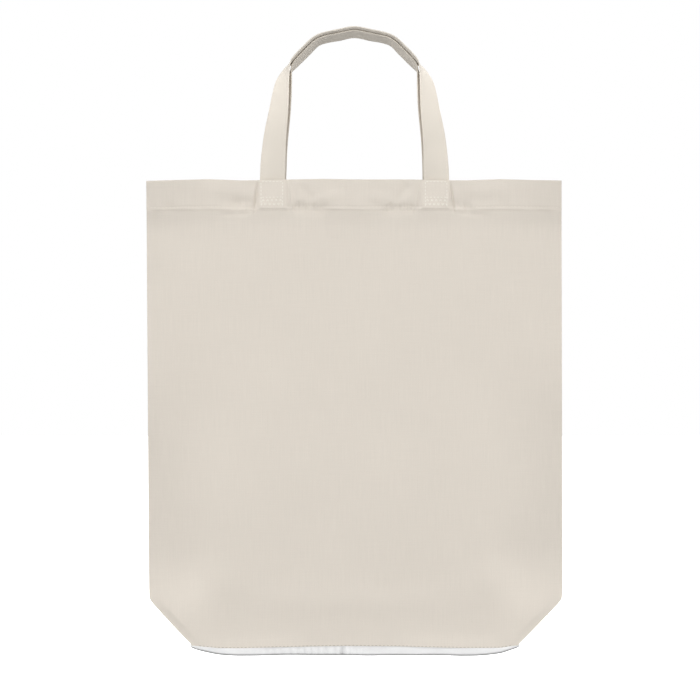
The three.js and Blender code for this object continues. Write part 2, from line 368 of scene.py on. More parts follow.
def facing_out(points, faces):
    """The faces of a closed mesh, turned over if they face inwards. The quads alone decide."""
    points = np.asarray(points).reshape(-1, 3)
    quads = np.array([face for face in faces if len(face) == 4])
    a, b, c, d = (points[quads[:, i]] for i in range(4))
    volume = np.sum(np.cross(a, b) * c) + np.sum(np.cross(a, c) * d)
    if volume < 0:
        return [face[::-1] for face in faces]
    return faces


def build_mesh(name, points, faces, uv, material, sharp=50):
    """A smooth shaded object. Edges sharper than the given degrees stay sharp."""
    points = np.asarray(points, float).reshape(-1, 3) * MM
    faces = [list(map(int, face)) for face in faces]
    mesh = bpy.data.meshes.new(name)
    mesh.from_pydata(points.tolist(), [], faces)
    if uv is not None:
        flat = np.asarray(uv, float).reshape(-1, 2) * MM
        layer = mesh.uv_layers.new(name="UVMap")
        corners = np.empty(len(mesh.loops), int)
        mesh.loops.foreach_get("vertex_index", corners)
        layer.data.foreach_set("uv", flat[corners].ravel())
    mesh.shade_smooth()
    mesh.set_sharp_from_angle(angle=math.radians(sharp))
    mesh.update()
    obj = bpy.data.objects.new(name, mesh)
    bpy.context.scene.collection.objects.link(obj)
    mesh.materials.append(material)
    return obj


def cloth_sheet(name, outer, uv, material, flip=False):
    """A closed sheet of cloth: outer is the grid of its outer face, and the inner face lies behind it."""
    rows, columns, _ = outer.shape
    normal = unit(np.cross(np.gradient(outer, axis=0), np.gradient(outer, axis=1)))
    inner = outer + normal * (CLOTH if flip else -CLOTH)
    count = rows * columns
    index = np.arange(count).reshape(rows, columns)
    front = grid_faces(rows, columns)
    back = grid_faces(rows, columns, count)[:, ::-1]
    ring = np.concatenate([index[0, :-1], index[:-1, -1], index[-1, :0:-1], index[:0:-1, 0]])
    after = np.roll(ring, -1)
    rim = np.stack([ring, after, after + count, ring + count], -1)
    points = np.concatenate([outer.reshape(-1, 3), inner.reshape(-1, 3)])
    faces = facing_out(points, np.concatenate([front, back, rim]))
    return build_mesh(name, points, faces, np.concatenate([uv.reshape(-1, 2)] * 2), material)


class Rows:
    """Rows of a cloth's outer face, with their places on the flat cloth."""

    def __init__(self):
        self.points = []
        self.flat = []

    def add(self, x, y, drop, v):
        """Adds a row, which lies at v along the flat cloth."""
        self.points.append(place(x, y, drop))
        self.flat.append(np.stack([x, np.full_like(x, v)], -1))

    def sheet(self, name, material, flip=False):
        """The finished cloth."""
        return cloth_sheet(name, np.array(self.points), np.array(self.flat), material, flip)


# Front and back cloths


def column_shares():
    """Columns across a panel, from -1 to 1."""
    half = []
    for (start, step), (end, _) in zip(COLUMN_STOPS, COLUMN_STOPS[1:]):
        half.extend(np.linspace(start, end, max(2, round((end - start) / step) + 1))[:-1])
    half = np.array(half + [HALF_WIDTH]) / HALF_WIDTH
    return np.concatenate([-half[:0:-1], half])


def path_rows(bottom):
    """A panel's path up the inside of the hem, over the mouth and down the outside, as (drop, depth, v)."""
    inside = [(drop, 2 * FOLD_RADIUS, -drop) for drop in np.linspace(HEM_DEPTH, FOLD_RADIUS, 10)]
    over = []
    for angle in np.linspace(0, math.pi, 7)[1:-1]:
        over.append((FOLD_RADIUS * (1 - math.sin(angle)), FOLD_RADIUS * (1 + math.cos(angle)), 0))
    spans = zip(ROW_STOPS, ROW_STOPS[1:])
    upper = np.concatenate([np.arange(start, end, step) for (start, step), (end, _) in spans])
    lower = np.linspace(upper[-1], bottom, int((bottom - upper[-1]) / ROW_STEP) + 1)[1:]
    outside = [(drop, 0, drop) for drop in np.concatenate([upper, lower])]
    return inside + over + outside


def panel_rows(side, bottom, width_at):
    """The rows of a panel from the inside of its hem down to the bottom."""
    shares = column_shares()
    rows = Rows()
    for drop, depth, v in path_rows(bottom):
        x = shares * width_at(drop)
        rows.add(x, outer_face(side, x, max(drop, FOLD_RADIUS)) - side * depth, drop, v)
    return rows


def front_width(drop):
    """Half of the front cloth's width: it ends where its slanting corner fold begins."""
    return half_width(drop) - CORNER_INSET * smooth((drop - CORNER_DROP) / CORNER_INSET_GROWTH)


def make_front(material):
    """The front panel, down to the front seam."""
    return panel_rows(-1, FRONT_LENGTH, front_width).sheet("front_cloth", material)


def make_back(material):
    """The back panel, with the pleat that turns up at its foot to meet the base."""
    turn = PLEAT_DROP - GAP - CLOTH
    rows = panel_rows(1, turn, half_width)
    shares = column_shares()
    for angle in np.linspace(0, math.pi, 9)[1:-1]:
        x = shares * half_width(turn)
        y = outer_face(1, x, turn) + GAP * (1 - math.cos(angle))
        rows.add(x, y, turn + GAP * math.sin(angle), turn + angle * GAP)
    for share in np.linspace(0, 1, 13):
        drop = mix(turn, REAR_SEAM_DROP - 1, share)
        x = shares * mix(half_width(turn), HALF_BASE, share)
        rows.add(x, outer_face(1, x, drop) + 2 * GAP, drop, turn + math.pi * GAP + turn - drop)
    return rows.sheet("back_cloth", material, flip=True)


# Base and corners


def lip_at(x):
    """How far the base hangs below the front seam: tapered to its ends and deeper in the middle."""
    out = np.clip((np.abs(x) - (HALF_BASE - BASE_END_ROUND)) / BASE_END_ROUND, 0, 1)
    tapered = mix(LIP_END, BASE_LIP, (1 - out**1.6) ** 0.65)
    return tapered + LIP_BULGE * smooth((LIP_BULGE_HALF - np.abs(x - LIP_BULGE_X)) / LIP_BULGE_FADE)


def base_wrinkles(x):
    """The puckers of the base's front edge, and the crimp a little left of its middle."""
    ripple = 0.35 * np.sin(x / 9.5) * np.sin(x / 37 + 1) + 0.2 * np.sin(x / 4.1 + 2)
    ripple = ripple + 0.85 * np.sin(x / 1.1 + np.sin(x / 7)) * bell(x + 35, 42)
    crimp = 3.6 * bell(x + 12, 2.4) - 0.9 * bell(x + 5.5, 3)
    return ripple, crimp


def base_end(x):
    """1 at the ends of the base and 0 along the rest of it."""
    return smooth((np.abs(x) - HALF_BASE + BASE_END) / BASE_END_FADE)


def base_back(x, drop):
    """The depth of the base on the back of the bag. Its ends lie lower, and lowest above the corner flaps."""
    lift = 0.25 * np.sin(x / 23 + 2) * np.sin(drop / 11) + 0.3 * np.sin(x / 51)
    inner = 1 - smooth((np.abs(x) - BASE_FLAT) / BASE_FLAT_FADE)
    flap = smooth((drop - CORNER_DROP + 2) / 5)
    lower = mix(END_ABOVE_FLAP, END_ON_FLAP, flap) * base_end(x)
    face = outer_face(1, x, np.minimum(drop, FRONT_LENGTH))
    return face + 2 * LAYER + BASE_SEAT + lift * inner - lower


def make_base(material):
    """White cloth from the front seam, round under the bag and up its back to the rear seam."""
    x = np.linspace(-1, 1, 261) * (HALF_BASE + 1)
    ripple, crimp = base_wrinkles(x)
    lip = lip_at(x)
    # The base hangs behind the front cloth, and further behind in its middle.
    behind = 0.75 + 0.7 * (1 - smooth((np.abs(x) - 70) / 50))
    front = outer_face(-1, x, FRONT_LENGTH) + behind
    rows = Rows()
    for down, inside in ((-BASE_TUCK, 0.5), (-1, 0.4), (0.2, 0)):
        rows.add(x, front + inside, FRONT_LENGTH + down, down)
    bottom = FRONT_LENGTH + lip + 0.3 * np.sin(x / 14 + 1)
    bend = np.minimum(BASE_BEND, 0.45 * lip)
    for share in (0.35, 0.7):
        drop = mix(FRONT_LENGTH + 0.3, bottom - bend, share)
        rows.add(x, front + ripple + crimp * (0.4 + 0.6 * share), drop, BASE_LIP * share)
    rear = base_back(x, FRONT_LENGTH)
    middle = 0.5 * (front + rear)
    pinch = 1 - 0.75 * smooth((np.abs(x) - HALF_BASE + 7) / 6)
    half = 0.5 * (rear - front) * pinch
    for angle in np.linspace(0, math.pi, 15):
        sink = bend * math.sin(angle) ** 0.6 if 0 < angle < math.pi else 0
        wave = (ripple + crimp) * ((1 + math.cos(angle)) / 2) ** 2
        y = middle - half * math.cos(angle) + wave
        rows.add(x, y, bottom - bend + sink, BASE_LIP + BASE_UNDER * angle / math.pi)
    for share in np.linspace(0, 1, 30)[1:]:
        drop = mix(FRONT_LENGTH, REAR_SEAM_DROP, share)
        dip = smooth((share - 0.95) / 0.05) * (1 - base_end(x))
        rows.add(x, base_back(x, drop) - dip, drop, BASE_LIP + BASE_UNDER + BASE_RISE * share)
    return rows.sheet("base_cloth", material, flip=True)


def flap_level(x, drop):
    """The depth of a corner flap's outer face on the back of the bag."""
    return reach(x, drop) + CLOTH + 2 * LAYER + 0.2


def make_corner(hand, material):
    """The corner of the front cloth, turned round the slanting fold onto the back of the bag."""
    top = np.array([HALF_WIDTH, CORNER_TOP])
    foot = np.array([HALF_BASE + 1, FRONT_LENGTH])
    inner = np.array([HALF_BASE - 1.5, CORNER_TOP])
    outward = unit(np.array([CORNER_HEIGHT, HALF_WIDTH - HALF_BASE]))
    grid = []
    uv = []
    for share in np.linspace(0, 1, 26):
        drop = mix(top[1], foot[1], share)
        centre = np.array([half_width(drop), drop]) - outward * CORNER_FOLD
        goal = mix(top, inner, share * 2) if share < 0.5 else mix(inner, foot, share * 2 - 1)
        size = CORNER_FOLD * (0.35 + 0.65 * smooth(min(share, 1 - share) * 8))
        front = outer_face(-1, *centre)
        back = flap_level(*centre)
        row = []
        for angle in np.linspace(0, math.pi, 11):
            spot = centre + outward * size * math.sin(angle)
            y = 0.5 * (front + back) - 0.5 * (back - front) * math.cos(angle)
            row.append((spot[0], y, spot[1]))
            uv.append((spot[0] + angle * CORNER_FOLD, spot[1]))
        for inward in np.linspace(0, 1, 18)[1:]:
            spot = mix(centre, goal, inward)
            bow = 0.5 * math.sin(inward * math.pi) * smooth(share * 3) - 0.15 * inward
            row.append((spot[0], flap_level(*spot) + bow, spot[1]))
            uv.append((2 * HALF_WIDTH - spot[0], spot[1]))
        x, y, drop = np.array(row).T
        grid.append(place(hand * x, y, drop))
    name = "left_corner_cloth" if hand < 0 else "right_corner_cloth"
    return cloth_sheet(name, np.array(grid), np.array(uv), material, flip=hand < 0)


# Handles

# Half of each handle's two edges, as (distance out, depth, height over the mouth). They are the CAD's, apart
# from the stagger at the mouth and small changes to the back strap's inner edge. The inner edge of the leg
# comes forward as the upper edge of the arch, and the outer edge goes back.
FRONT_EDGES = (
    (
        (LEG_IN + STRAP_STAGGER, -LEG_DEPTH, 0.3),
        (62.9, -8.2, 36),
        (60.8, -9.8, 66),
        (60.2, -11.3, 90),
        (59.8, -12, 100),
        (59.2, -12.6, 107),
        (57.6, -13, 111.5),
        (46.9, -13, 123.3),
        (35.1, -13, 133.2),
        (13.9, -13, 138.9),
        (0, -13, 141.2),
    ),
    (
        (LEG_OUT + STRAP_STAGGER, -LEG_DEPTH, 0.3),
        (84, 2, 37),
        (78.5, 6, 65.6),
        (72.1, 9, 92.4),
        (66.5, 10.8, 101.5),
        (62, 11.2, 106.3),
        (55, 10.6, 108.8),
        (43.4, 10.4, 119.8),
        (33.2, 10.4, 129.3),
        (13.2, 10.4, 134),
        (0, 10.4, 136.2),
    ),
)
BACK_EDGES = (
    (
        (LEG_IN - STRAP_STAGGER, LEG_DEPTH, 0.3),
        (61.5, 1, 36),
        (58.5, -3.5, 66),
        (57.8, -6.5, 90),
        (57.7, -7.3, 100),
        (57.4, -7.4, 106.2),
        (55.6, -7.5, 109.6),
        (44.8, -7.5, 121.1),
        (33.7, -7.5, 130.6),
        (13.1, -7.5, 136),
        (0, -7.5, 138.2),
    ),
    (
        (LEG_OUT - STRAP_STAGGER, LEG_DEPTH, 0.3),
        (83, 9.5, 37),
        (76.5, 12.5, 65),
        (68, 14.5, 89.5),
        (61.5, 15.8, 98.5),
        (57.5, 16, 102.3),
        (53, 16, 106.3),
        (41.4, 16, 117.6),
        (32.2, 16, 126.4),
        (13, 16, 130.8),
        (0, 16, 133.3),
    ),
)
STITCH_LINE = 0.83  # where a strap's two rows of stitches run, as a share of its half width
INNER_FACE_U = 60  # where the weave of a strap's inner face starts on the flat cloth


def catmull(points, samples_each=9):
    """A centripetal Catmull-Rom curve through points, with even samples between each two."""
    points = np.asarray(points, float)
    ends = np.vstack([2 * points[0] - points[1], points, 2 * points[-1] - points[-2]])
    out = []
    for i in range(1, len(ends) - 2):
        p0, p1, p2, p3 = ends[i - 1 : i + 3]
        d0, d1, d2 = (max(np.linalg.norm(b - a) ** 0.5, 1e-4) for a, b in ((p0, p1), (p1, p2), (p2, p3)))
        t1 = ((p1 - p0) / d0 - (p2 - p0) / (d0 + d1) + (p2 - p1) / d1) * d1
        t2 = ((p2 - p1) / d1 - (p3 - p1) / (d1 + d2) + (p3 - p2) / d2) * d1
        last = i == len(ends) - 3
        for t in np.linspace(0, 1, samples_each + 1)[: None if last else -1]:
            out.append(
                p1 * (2 * t**3 - 3 * t**2 + 1)
                + t1 * (t**3 - 2 * t**2 + t)
                + p2 * (-2 * t**3 + 3 * t**2)
                + t2 * (t**3 - t**2)
            )
    return np.array(out)


def whole_edge(half, depth):
    """A handle's whole edge from sewn end to sewn end, with its ends sewn at the given depth."""
    out = half[0][0]
    half = ((out, depth, -STRAP_SEWN), (out, depth, -STRAP_SEWN / 2), *half)
    left = [(-x, y, MOUTH_Z + height) for x, y, height in half]
    right = [(x, y, MOUTH_Z + height) for x, y, height in half[:-1]]
    return catmull(left + right[::-1])


class Strap:
    """The middle line, width direction and normal of a handle, along its length."""

    def __init__(self, edges, depth):
        near = whole_edge(edges[0], depth)
        far = whole_edge(edges[1], depth)
        self.middle = 0.5 * (near + far)
        self.across = unit(far - near)
        self.normal = unit(np.cross(np.gradient(self.middle, axis=0), self.across))
        self.run = run_along(self.middle)
        self.length = float(self.run[-1])


def strap_section():
    """A strap's cross-section: places across it from -1 to 1, and half of the thickness at each.

    It is thinner under the two rows of stitches and round at the edges.
    """
    places = np.concatenate([[-1, -0.985, -0.95], np.linspace(-0.88, 0.88, 15), [0.95, 0.985, 1]])
    thick = STRAP / 2 * (1 - 0.3 * bell(np.abs(places) - STITCH_LINE, 0.05))
    past_edge = np.clip((np.abs(places) - 0.95) / 0.06, 0, 1)
    return places, thick * np.sqrt(np.clip(1 - past_edge**2, 0.06, 1))


def make_strap(name, strap, material):
    """A handle's whole strap, slightly uneven in width and thickness."""
    places, thick = strap_section()
    run = strap.run
    wobble = 0.25 * np.sin(run / 17 + len(name)) + 0.12 * np.sin(run / 5.3)
    from_end = np.minimum(run, strap.length - run)
    narrower = STRAP_NARROWING * smooth((NARROW_END - from_end) / NARROW_FADE)
    half_widths = STRAP_WIDTH / 2 + 0.3 * wobble - narrower
    pads = 1 + 0.12 * np.sin(run / 7.7) * np.sin(run / 3.1)
    grid = []
    uv = []
    for i, (width, pad) in enumerate(zip(half_widths, pads)):
        for face, order, shift in ((1, slice(None), 0), (-1, slice(None, None, -1), INNER_FACE_U)):
            for u, t in zip(places[order], thick[order]):
                grid.append(strap.middle[i] + strap.across[i] * u * width + strap.normal[i] * face * t * pad)
                uv.append((u * width + shift, run[i]))
    around = 2 * len(places)
    faces = grid_faces(len(run), around, wrap=True).tolist()
    last = (len(run) - 1) * around
    faces.append(list(range(around)))
    faces.append(list(range(last, last + around))[::-1])
    return build_mesh(name, grid, facing_out(grid, faces), uv, material, sharp=70)


# Thread

# A stitch from end to end, as (place along it, share of its radius, lift)
STITCH_PROFILE = ((-0.5, 0.25, -0.22), (-0.36, 0.9, 0), (0, 1, 0.06), (0.36, 0.9, 0), (0.5, 0.25, -0.22))
STITCH_SIDES = 6

# The thread's radius, how deep it lies in the cloth, and the length and pitch of the stitches
HEM_STITCH = dict(radius=0.29, sink=0.14, length=2.6, pitch=3.5)
SEAM_STITCH = dict(radius=0.24, sink=0.08, length=2.6, pitch=3.5)
BOX_STITCH = dict(radius=0.4, sink=0.02, length=2.2, pitch=2.9)
STRAP_STITCH = dict(radius=0.22, sink=0.12, length=2.6, pitch=3.5)

# Drops of the box that holds each strap end: its top, the top of its zigzag foot and its bottom
BOX_TOP = 1.7
BOX_FOOT = 15.8
BOX_BOTTOM = 24.4
ZIGZAG = (16.8, 24)


def at_run(values, run, at):
    """The values of a line at a distance along it."""
    return np.array([np.interp(at, run, values[:, j]) for j in range(3)])


def stitches(name, runs, material, radius, sink, length, pitch):
    """Short rounded stitches along each run of points, which has one outward normal for each point."""
    points = []
    faces = []
    reach_along = 0.6
    for line, normals in runs:
        run = run_along(line)
        count = max(1, int(run[-1] / pitch))
        for k in range(count):
            at = (k + 0.5) * run[-1] / count
            spot = at_run(line, run, at)
            normal = unit(at_run(normals, run, at))
            forward = unit(at_run(line, run, at + reach_along) - at_run(line, run, at - reach_along))
            sideways = np.cross(forward, normal)
            base = len(points)
            for along, wide, lift in STITCH_PROFILE:
                centre = spot + forward * along * length
                for j in range(STITCH_SIDES):
                    angle = 2 * math.pi * j / STITCH_SIDES
                    out = sideways * math.cos(angle) * radius * wide
                    up = normal * (math.sin(angle) * radius * wide * 0.8 + lift - sink)
                    points.append(centre + out + up)
            faces.extend(grid_faces(len(STITCH_PROFILE), STITCH_SIDES, base, wrap=True)[:, ::-1].tolist())
            end = base + (len(STITCH_PROFILE) - 1) * STITCH_SIDES
            faces.append(list(range(base, base + STITCH_SIDES))[::-1])
            faces.append(list(range(end, end + STITCH_SIDES)))
    return build_mesh(name, points, facing_out(points, faces), None, material, sharp=60)


def panel_run(side, x, drop):
    """A line of points on a panel's outer face with the normals there."""
    y = outer_face(side, x, drop)
    step = 0.5
    slope_x = (outer_face(side, x + step, drop) - outer_face(side, x - step, drop)) / (2 * step)
    slope_z = -(outer_face(side, x, drop + step) - outer_face(side, x, drop - step)) / (2 * step)
    normal = np.stack([-slope_x, np.ones_like(y), -slope_z], -1) * side
    return place(x, y, drop), unit(normal)


def straight(side, start, end):
    """A straight run on a panel between two points, each (x, drop)."""
    count = max(3, int(math.dist(start, end) / 1.5))
    x, drop = (np.linspace(a, b, count) for a, b in zip(start, end))
    return panel_run(side, x, drop)


def box_runs(side):
    """The stitched box with a zigzag foot that holds each strap end."""
    runs = []
    for hand in (-1, 1):
        inner = hand * (LEG_IN + 2.6)
        outer = hand * (LEG_OUT - 1.6)
        for drop in (BOX_TOP, BOX_FOOT):
            runs.append(straight(side, (inner, drop), (outer, drop)))
        for x in (inner, outer):
            runs.append(straight(side, (x, BOX_TOP), (x, BOX_BOTTOM)))
        places = np.linspace(inner, outer, 11)
        for k in range(len(places) - 1):
            start, end = ZIGZAG if k % 2 else ZIGZAG[::-1]
            runs.append(straight(side, (places[k], start), (places[k + 1], end)))
    return runs


def hem_runs(side):
    """The stitch line of the hem, which wavers a little."""
    x = np.linspace(-HALF_WIDTH + 2, HALF_WIDTH - 2, 260)
    return [panel_run(side, x, HEM_LINE + 0.25 * np.sin(x / 29))]


def seam_runs():
    """The thread that shows where the front cloth is sewn to the base."""
    x = np.linspace(-HALF_BASE + 6, HALF_BASE - 6, 240)
    return [panel_run(-1, x, FRONT_LENGTH - 0.5)]


def strap_runs(strap):
    """The two rows of stitches on each face of a strap, between its sewn ends."""
    runs = []
    places, thick = strap_section()
    between_ends = slice(18, -18)
    for u in (-STITCH_LINE, STITCH_LINE):
        depth = float(np.interp(u, places, thick))
        for face in (-1, 1):
            line = strap.middle + strap.across * u * STRAP_WIDTH / 2 + strap.normal * face * depth
            runs.append((line[between_ends], strap.normal[between_ends] * face))
    return runs


# Materials


class Nodes:
    """A small helper that adds nodes to a shader tree and links them."""

    def __init__(self, tree):
        self.tree = tree

    def fill(self, node, inputs):
        """Sets a node's inputs: an output is linked, and anything else is a constant."""
        for key, value in inputs.items():
            if isinstance(value, bpy.types.NodeSocket):
                self.tree.links.new(value, node.inputs[key])
            else:
                node.inputs[key].default_value = value

    def add(self, kind, inputs=None, **settings):
        """A new node with its settings and inputs."""
        node = self.tree.nodes.new(kind)
        for key, value in settings.items():
            setattr(node, key, value)
        self.fill(node, inputs or {})
        return node

    def math(self, operation, *values, clamp=False):
        """The result of a math node."""
        inputs = dict(enumerate(values))
        return self.add("ShaderNodeMath", inputs, operation=operation, use_clamp=clamp).outputs[0]

    def centred(self, value, middle, strength):
        """How far a value is from its middle, times a strength."""
        return self.math("MULTIPLY", self.math("SUBTRACT", value, middle), strength)

    def noise(self, vector, scale, detail=2.0, roughness=0.5):
        """A noise, from 0 to 1."""
        inputs = {"Vector": vector, "Scale": scale, "Detail": detail, "Roughness": roughness}
        return self.add("ShaderNodeTexNoise", inputs).outputs[0]

    def stretched_noise(self, vector, scale):
        """A noise with its own scale along each axis."""
        mapping = self.add("ShaderNodeMapping", {"Vector": vector, "Scale": scale})
        return self.noise(mapping.outputs[0], 1.0, 3.0, 0.6)

    def span(self, value, low, high):
        """0 at low and 1 at high, softened at both."""
        inputs = {"Value": value, "From Min": low, "From Max": high}
        return self.add("ShaderNodeMapRange", inputs, interpolation_type="SMOOTHSTEP").outputs[0]

    def between(self, value, start, full, last, end):
        """1 from full to last, fading to 0 at start and end."""
        return self.math("MULTIPLY", self.span(value, start, full), self.span(value, end, last))

    def grey(self, value):
        """A grey colour of that value."""
        return self.add("ShaderNodeCombineColor", {"Red": value, "Green": value, "Blue": value}).outputs[0]

    def bump(self, height, strength, distance):
        """The normal of a surface with this fine relief."""
        inputs = {"Height": height, "Strength": strength, "Distance": distance}
        return self.add("ShaderNodeBump", inputs).outputs[0]


class MaterialNodes(Nodes):
    """A new material and its nodes."""

    def __init__(self, name):
        self.material = bpy.data.materials.new(name)
        self.material.use_nodes = True
        super().__init__(self.material.node_tree)
        self.shader = self.tree.nodes["Principled BSDF"]


# Tints, as (band across from the middle, band along, strength). A band is (start, full, last, end) in metres,
# and 1.0 and 1.1 are past every edge. A body has painted shade on its sides and under its hem, painted light
# on its lower half and lower corners, and paler strap boxes. The lip has a painted shade line on its fold. A
# strap has painted light on its upper legs and painted shade at its feet.
SIDE_BAND = (0.112, 0.19, 1.0, 1.1)
BODY_TINTS = (
    # Painted shade: darker sides on the lower half of the body
    (SIDE_BAND, (0.13, 0.25, 0.36, 0.41), -0.055),
    # Painted shade: darker sides at the hem
    (SIDE_BAND, (-0.1, -0.05, 0.03, 0.06), -0.055),
    # Painted light: a slightly paler lower half of the body
    (None, (0.2, 0.27, 1.0, 1.1), 0.015),
    # Painted shade: darker cloth just under the hem's step
    (None, (0.0272, 0.0295, 0.0315, 0.048), -0.04),
    # Painted light: paler lower corners
    ((0.11, 0.155, 1.0, 1.1), (0.33, 0.375, 1.0, 1.1), 0.08),
    ((0.0615, 0.063, 0.0865, 0.088), (-0.001, 0.001, 0.024, 0.0255), 0.03),
)
# Painted shade: a dark line on the lip's fold
LIP_TINTS = ((None, (0.0068, 0.008, 0.0084, 0.0093), -0.58),)
STRAP_FRONT = (-1.0, -0.9, 0.029, 0.031)
STRAP_TINTS = (
    # Painted light: paler outer faces of the upper legs
    (STRAP_FRONT, (0.058, 0.086, 0.08, 0.148), 0.285),
    # Painted shade: darker strap feet near the mouth
    (None, (0.15, 0.178, 1.0, 1.1), -0.06),
)

# The scales of the noises in a weave: how the yarns wander, uneven warp and weft, soft blotches and fuzz
WANDER_SCALE = 160.0
WARP_SCALE = (1500.0, 34.0, 1.0)
WEFT_SCALE = (30.0, 1300.0, 1.0)
BLOTCH_SCALE = 11.0
FUZZ_SCALE = 1400.0

# The finish of each cloth, with the pitch of its yarns in metres
COTTON = dict(pitch=0.00055, blotches=0.05, slubs=0.16, bump=0.5, roughness=0.92, sheen=0.12)
WHITE = dict(pitch=0.0004, blotches=0.03, slubs=0.06, bump=0.35, roughness=0.85, sheen=0.08)
WEBBING = dict(pitch=0.0005, blotches=0.05, slubs=0.1, bump=0.14, roughness=0.92, sheen=0.15)


def weave_height(n, u, v, wander, pitch):
    """The relief of plain weave, whose yarns wander: warp over weft and weft over warp in turn."""
    turns = math.pi / pitch
    across = n.math("SINE", n.math("MULTIPLY", n.math("ADD", u, wander), turns))
    down = n.math("SINE", n.math("MULTIPLY", n.math("SUBTRACT", v, wander), turns))
    over = n.math("ADD", n.math("MULTIPLY", n.math("MULTIPLY", across, down), 2.5), 0.5, clamp=True)
    warp = n.math("MULTIPLY", n.math("ABSOLUTE", across), over)
    weft = n.math("MULTIPLY", n.math("ABSOLUTE", down), n.math("SUBTRACT", 1.0, over))
    return n.math("ADD", warp, weft)


def woven(name, colour, tints, pitch, blotches, slubs, bump, roughness, sheen, middle=None):
    """Plain weave over UVs in metres, with uneven yarns, slubs, soft blotches and a fibrous bump.

    With a middle, the bands along are distances from there.
    """
    n = MaterialNodes(name)
    uv = n.add("ShaderNodeUVMap", uv_map="UVMap").outputs[0]
    u, v, _ = n.add("ShaderNodeSeparateXYZ", {"Vector": uv}).outputs
    wander = n.centred(n.noise(uv, WANDER_SCALE), 0.5, pitch * 1.6)
    height = weave_height(n, u, v, wander, pitch)
    warp = n.stretched_noise(uv, WARP_SCALE)
    weft = n.stretched_noise(uv, WEFT_SCALE)
    yarns = n.math("ADD", n.math("MULTIPLY", warp, 0.62), n.math("MULTIPLY", weft, 0.38))
    blotch = n.noise(uv, BLOTCH_SCALE, 3.0, 0.55)
    fuzz = n.noise(uv, FUZZ_SCALE, 2.0, 0.7)
    shade = n.centred(yarns, 0.5, slubs)
    shade = n.math("ADD", shade, n.centred(blotch, 0.5, blotches))
    # Painted shade: the weave's valleys darker than its crossings
    shade = n.math("ADD", shade, n.centred(height, 0.72, 0.1))
    shade = n.math("ADD", shade, n.centred(fuzz, 0.5, 0.05))
    out = n.math("ABSOLUTE", u)
    place_along = v if middle is None else n.math("ABSOLUTE", n.math("SUBTRACT", v, middle))
    for across, along, strength in tints:
        area = n.between(place_along, *along)
        if across:
            area = n.math("MULTIPLY", n.between(out, *across), area)
        shade = n.math("MULTIPLY_ADD", area, strength, shade)
    tint = n.add("ShaderNodeMix", {"Factor": 1.0}, data_type="RGBA", blend_type="MULTIPLY")
    n.fill(tint, {6: (*colour, 1), 7: n.grey(n.math("ADD", shade, 1.0))})
    fibres = n.math("ADD", n.math("MULTIPLY", height, 0.6), n.math("MULTIPLY", yarns, 0.9))
    fibres = n.math("ADD", fibres, n.math("MULTIPLY", fuzz, 0.25))
    n.fill(
        n.shader,
        {
            "Base Color": tint.outputs[2],
            "Roughness": n.math("ADD", n.centred(blotch, 0.5, 0.12), roughness),
            "Normal": n.bump(fibres, bump, 0.0004),
            "Sheen Weight": sheen,
            "Sheen Roughness": 0.6,
            "Specular IOR Level": 0.15,
        },
    )
    return n.material


def thread_material(name, colour):
    """Twisted cotton thread that varies a little in tone."""
    n = MaterialNodes(name)
    where = n.add("ShaderNodeTexCoord").outputs["Object"]
    twist = n.noise(where, 2600.0, 2.0, 0.6)
    fade = n.noise(where, 60.0)
    tone = n.math("ADD", n.math("MULTIPLY", twist, 0.5), n.math("MULTIPLY", fade, 0.4))
    ramp = n.add("ShaderNodeMix", {"Factor": tone}, data_type="RGBA")
    dark = [0.86 * c for c in colour]
    light = [min(1.0, 1.08 * c) for c in colour]
    n.fill(ramp, {6: (*dark, 1), 7: (*light, 1)})
    n.fill(
        n.shader,
        {
            "Base Color": ramp.outputs[2],
            "Normal": n.bump(twist, 0.5, 0.0002),
            "Roughness": 0.75,
            "Sheen Weight": 0.15,
        },
    )
    return n.material


# Camera, light and floor

PHOTO_CENTRE = (-4.1, -287.8)
PHOTO_WIDTH = 642.6
LENS = 200
SENSOR = 36
FLOOR_Z = -700
FLOOR_HALF = 15000
SKY_LEVEL = 0.535

# Area lights, as (name, place, aim, size, power) in metres and watts
LAMPS = (
    ("left_key", (-1.5, -2.2, -0.2), (0, 0, -0.4), 0.9, 20.5),
    ("right_key", (1.4, -2.2, -0.2), (0, 0, -0.4), 0.9, 16),
    ("top_soft", (0, -0.9, 2.0), (0, 0, -0.2), 1.4, 9),
    ("left_side", (-2.3, -0.7, 0.3), (0, 0, -0.2), 1.0, 8.5),
    ("right_side", (2.3, -0.7, 0.3), (0, 0, -0.2), 1.0, 11),
    ("back_fill", (0.6, 2.5, 1.2), (0, 0, -0.3), 1.8, 50),
)


def make_camera():
    """A far camera with a long lens, level with the middle of the photograph."""
    data = bpy.data.cameras.new("camera")
    data.lens = LENS
    data.sensor_width = SENSOR
    data.clip_end = 50
    camera = bpy.data.objects.new("camera", data)
    bpy.context.scene.collection.objects.link(camera)
    distance = PHOTO_WIDTH * LENS / SENSOR
    x, z = PHOTO_CENTRE
    camera.location = Vector((x, -distance - FOOT_HALF_DEPTH, z)) * MM
    camera.rotation_euler = (math.pi / 2, 0, 0)
    bpy.context.scene.camera = camera


def area_light(name, place_at, aim, size, power):
    """A square light that points at its aim."""
    data = bpy.data.lights.new(name, "AREA")
    data.shape = "SQUARE"
    data.size = size
    data.energy = power
    light = bpy.data.objects.new(name, data)
    bpy.context.scene.collection.objects.link(light)
    light.location = place_at
    light.rotation_euler = (Vector(aim) - Vector(place_at)).to_track_quat("-Z", "Y").to_euler()


def seen_mask(n):
    """1 for rays that show the background: straight from the camera, or by gloss or through glass."""
    path = n.add("ShaderNodeLightPath")
    seen = n.math("MAXIMUM", path.outputs["Is Camera Ray"], path.outputs["Is Glossy Ray"])
    return n.math("MAXIMUM", seen, path.outputs["Is Transmission Ray"])


